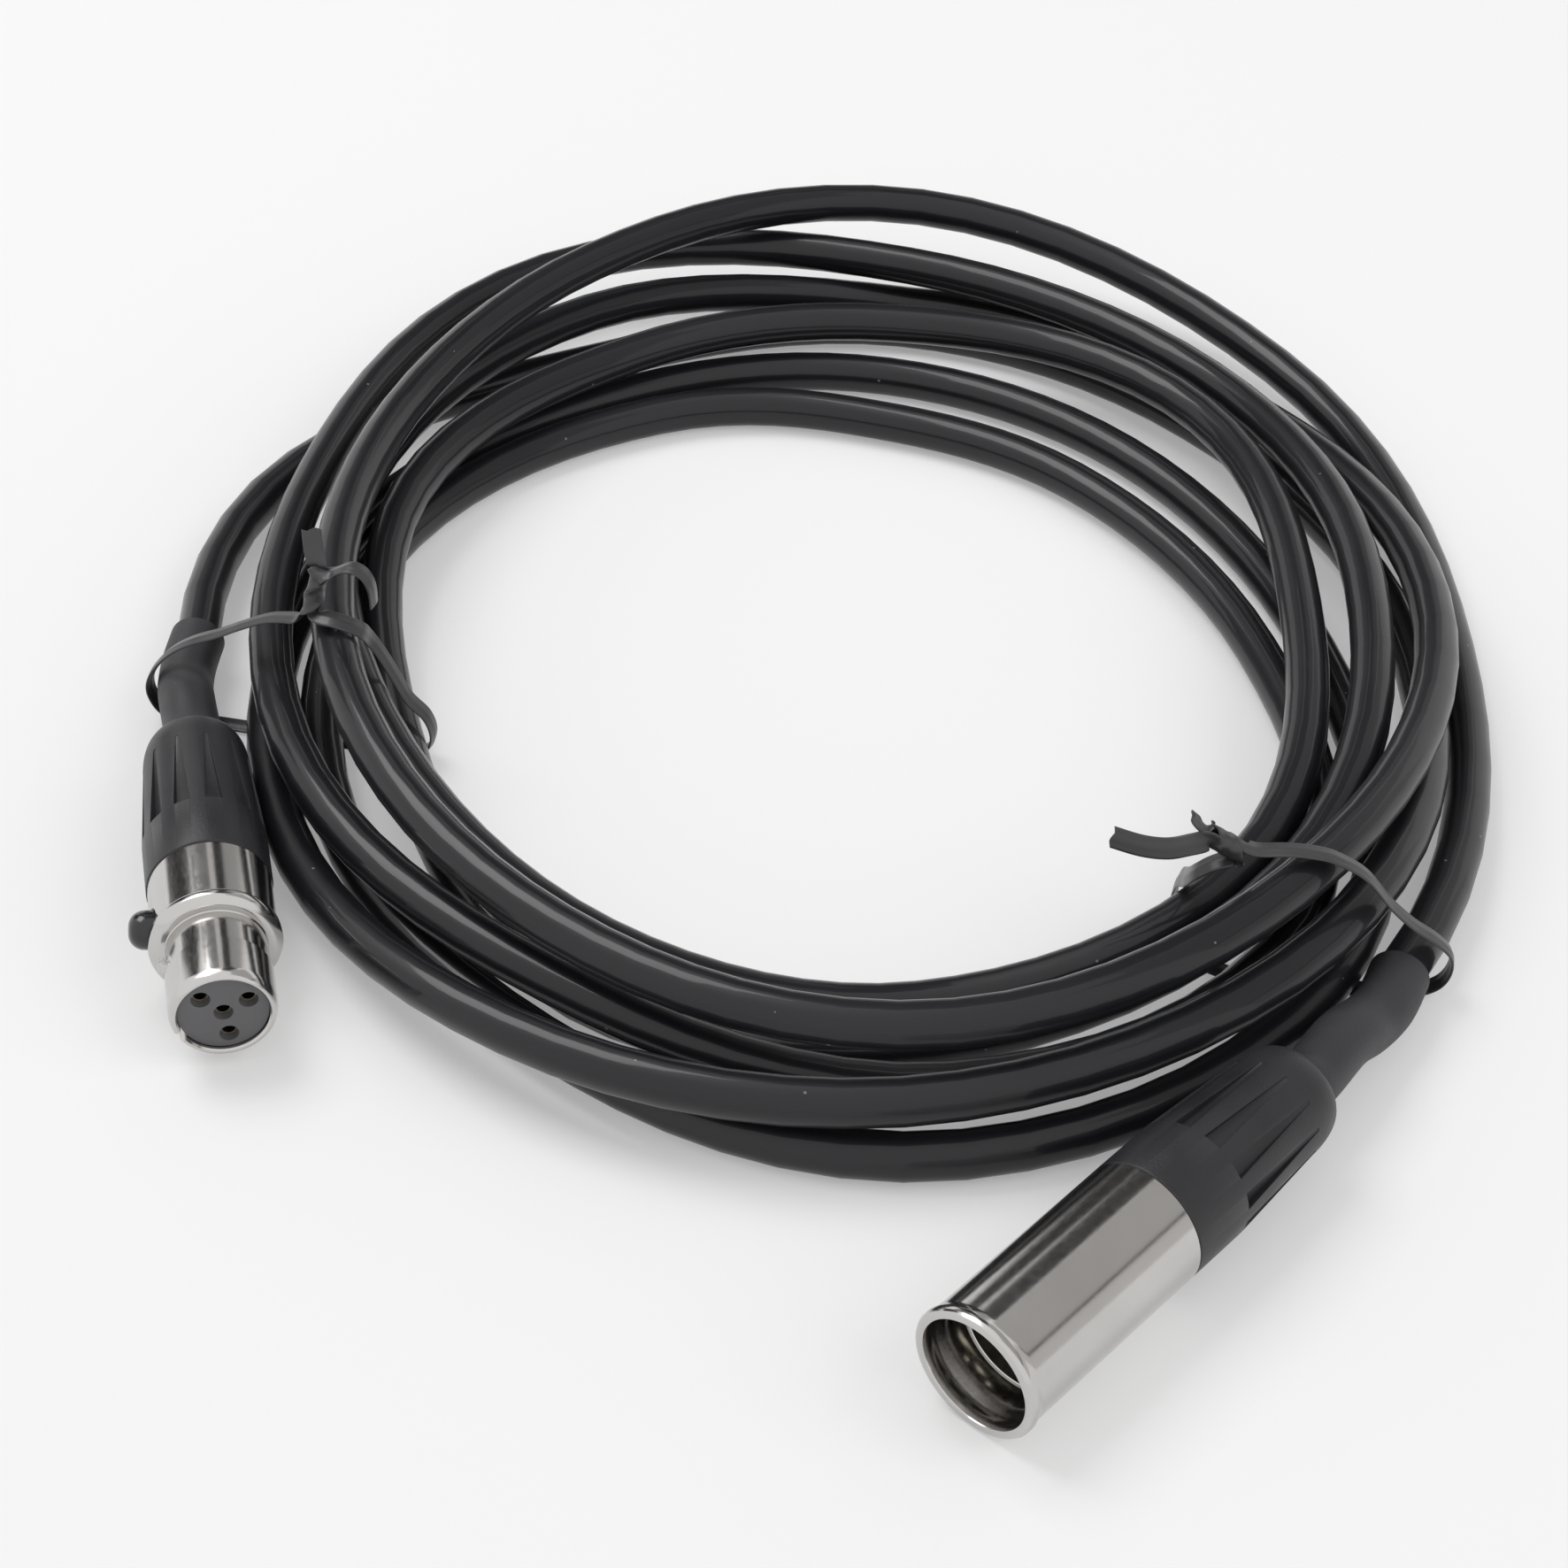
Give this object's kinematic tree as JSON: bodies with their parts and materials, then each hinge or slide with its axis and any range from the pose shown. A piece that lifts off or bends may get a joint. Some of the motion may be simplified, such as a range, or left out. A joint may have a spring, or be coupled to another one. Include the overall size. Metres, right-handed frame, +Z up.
{
  "type": "xlr cable coil",
  "caption": "Black audio cable wound into an oval coil and held by twist ties, with a polished male miniature XLR plug on one end and a latching female plug on the other.",
  "frame": {"origin": "centre of the coil's oval, on the plane that the coil and both plugs lie on", "axes": "+Z up from that plane; +Y from the plugs across the coil, along its longest extent; +X to the right, on the side where the male plug leaves the coil"},
  "size_m": [0.1173, 0.1599, 0.0227],
  "materials": {
    "cable_jacket": "glossy black flexible jacket",
    "shrink_sleeve": "satin black shrink sleeve",
    "polished_shell": "bright polished nickel plating",
    "male_insert": "dark moulded insulator",
    "female_insert": "dark grey moulded insulator",
    "contact": "pale plated contacts",
    "core_insulation": "coloured core insulation",
    "clamp": "natural moulded collet",
    "boot": "satin black moulded boot",
    "latch_spring": "bright spring steel",
    "latch_button": "glossy black push button",
    "tie": "black plastic coated twist tie"
  },
  "bodies": {
    "cable": {"cable_coil": "cable_jacket", "male_lead": "cable_jacket", "female_lead": "cable_jacket", "male_shell": "polished_shell", "male_insert": "male_insert", "male_pin_1": "contact", "male_pin_2": "contact", "male_pin_3": "contact", "male_pin_4": "contact", "male_cores": "core_insulation", "male_clamp": "clamp", "male_boot": "boot", "male_sleeve": "shrink_sleeve", "female_shell": "polished_shell", "female_insert": "female_insert", "female_socket_1": "contact", "female_socket_2": "contact", "female_socket_3": "contact", "female_socket_4": "contact", "female_cores": "core_insulation", "female_clamp": "clamp", "female_boot": "boot", "female_sleeve": "shrink_sleeve", "left_tie": "tie", "right_tie": "tie"},
    "latch": {"latch_lever": "latch_spring", "latch_button": "latch_button"}
  },
  "joints": [
    {"name": "latch_press", "type": "hinge", "parent": "cable", "child": "latch", "pos_m": [-0.0524, -0.03796, 0.0057], "axis": [0.1697, 0.037, 0.9848], "range_deg": [0, 3.3], "stiffness_Nm_per_rad": 0.24}
  ]
}
